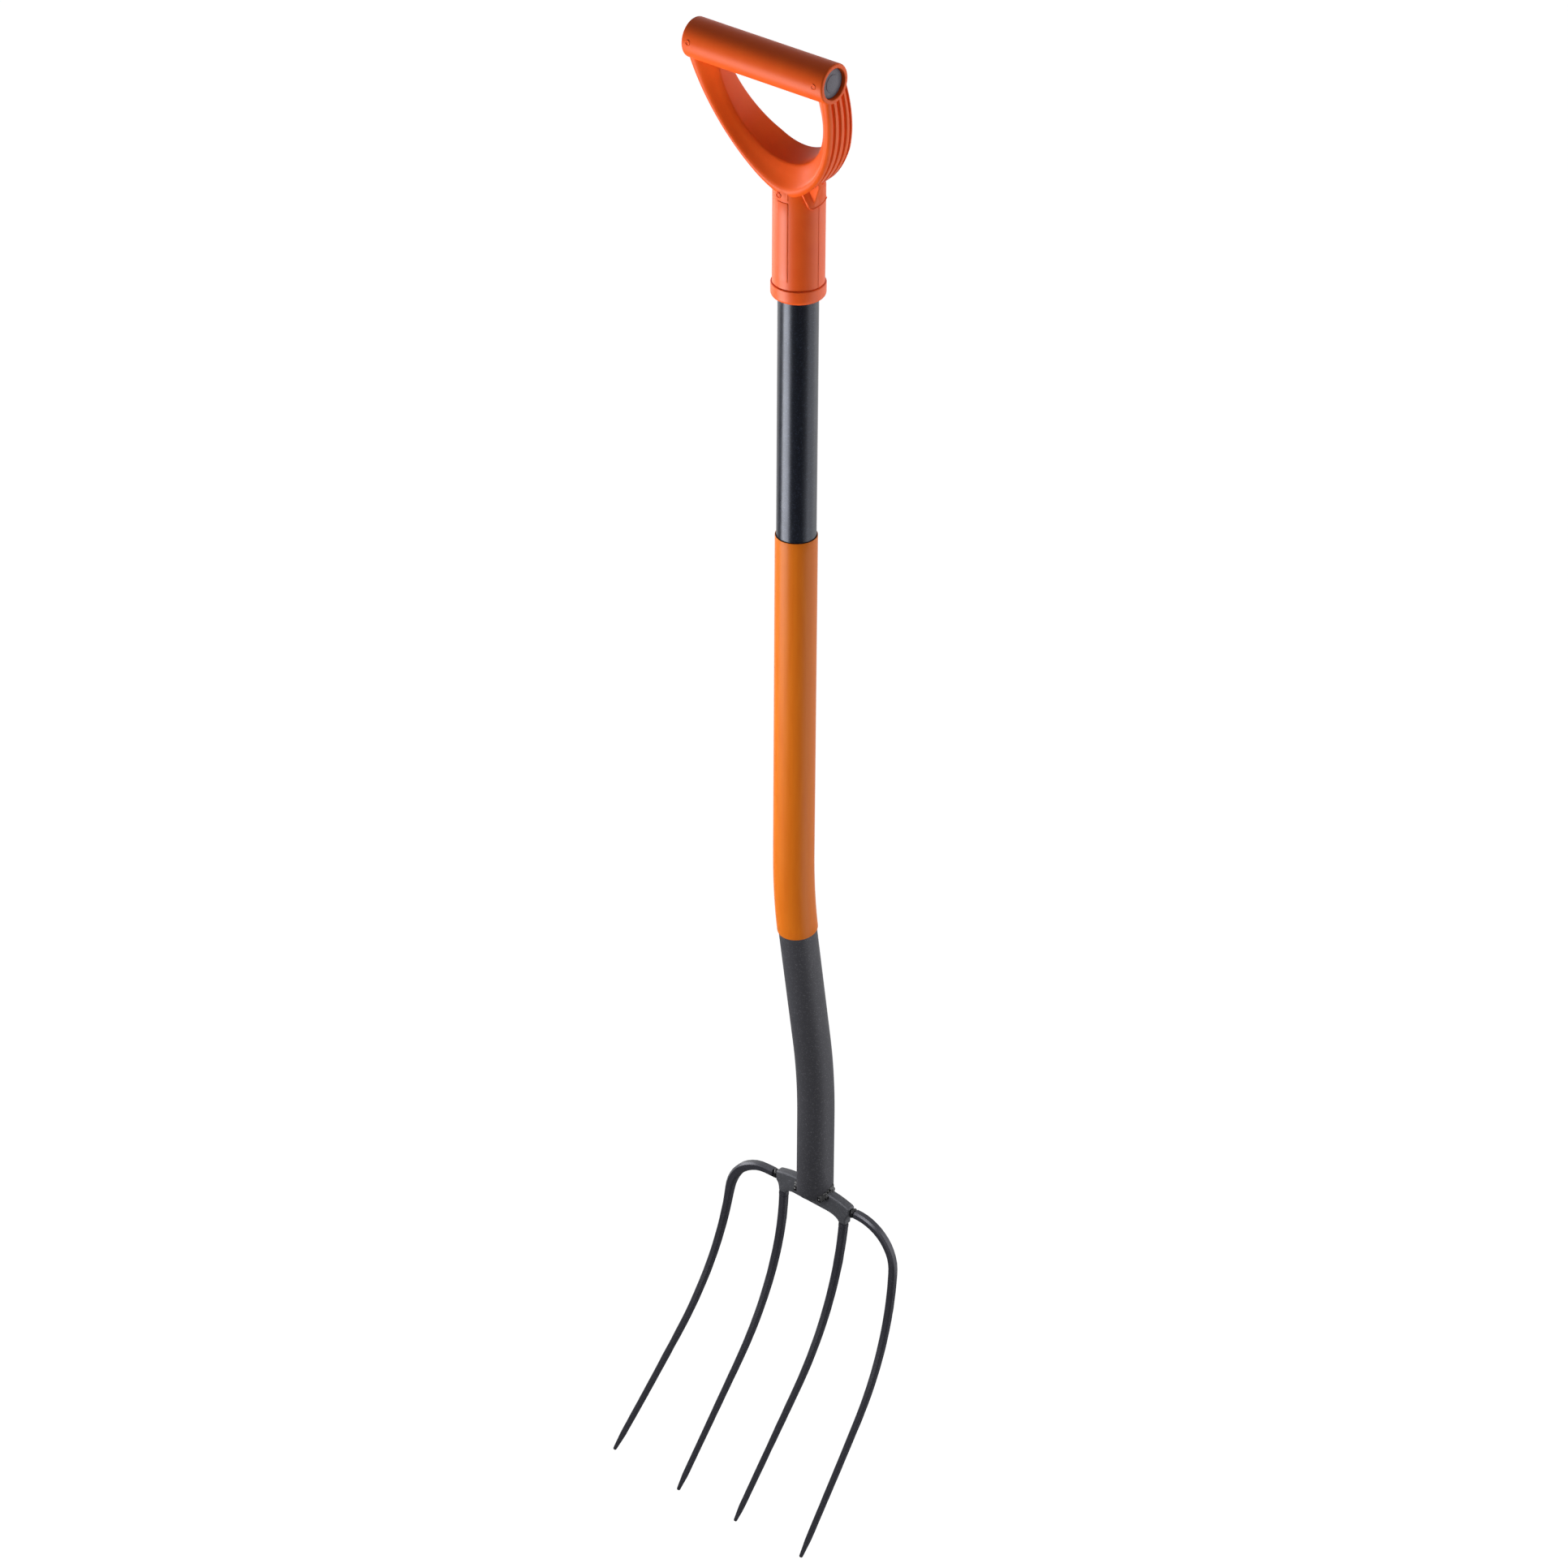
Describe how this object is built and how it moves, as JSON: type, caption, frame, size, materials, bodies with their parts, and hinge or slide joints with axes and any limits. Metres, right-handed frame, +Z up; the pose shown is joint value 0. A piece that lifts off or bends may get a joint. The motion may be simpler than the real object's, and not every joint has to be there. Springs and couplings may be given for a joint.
{
  "type": "digging fork",
  "caption": "Long-handled digging fork: a moulded D handle on a bent steel tube with a plastic sleeve, and a welded head of curved tines for lifting and turning soil.",
  "frame": {"origin": "middle of the grip's underside, where a hook holds the fork", "axes": "+Z up the shaft towards the grip, +X along the grip; the tines sweep forward, towards -Y"},
  "size_m": [0.2035, 0.1538, 1.2705],
  "materials": {
    "handle_plastic": "satin moulded orange",
    "plug_plastic": "grainy dark grey",
    "rivet_steel": "zinc plated",
    "tube_coat": "black powder coat",
    "sleeve_plastic": "satin orange",
    "head_coat": "charcoal powder coat",
    "weld_coat": "coated weld"
  },
  "bodies": {
    "root": {"d_handle": "handle_plastic", "grip_plug_left": "plug_plastic", "grip_plug_right": "plug_plastic", "handle_rivet": "rivet_steel", "shaft_tube": "tube_coat", "shaft_sleeve": "sleeve_plastic", "head_bridge": "head_coat", "tine_outer_left": "head_coat", "weld_outer_left": "weld_coat", "tine_outer_right": "head_coat", "weld_outer_right": "weld_coat", "tine_inner_left": "head_coat", "weld_inner_left": "weld_coat", "tine_inner_right": "head_coat", "weld_inner_right": "weld_coat", "weld_tube_left": "weld_coat", "weld_tube_right": "weld_coat"}
  },
  "joints": []
}
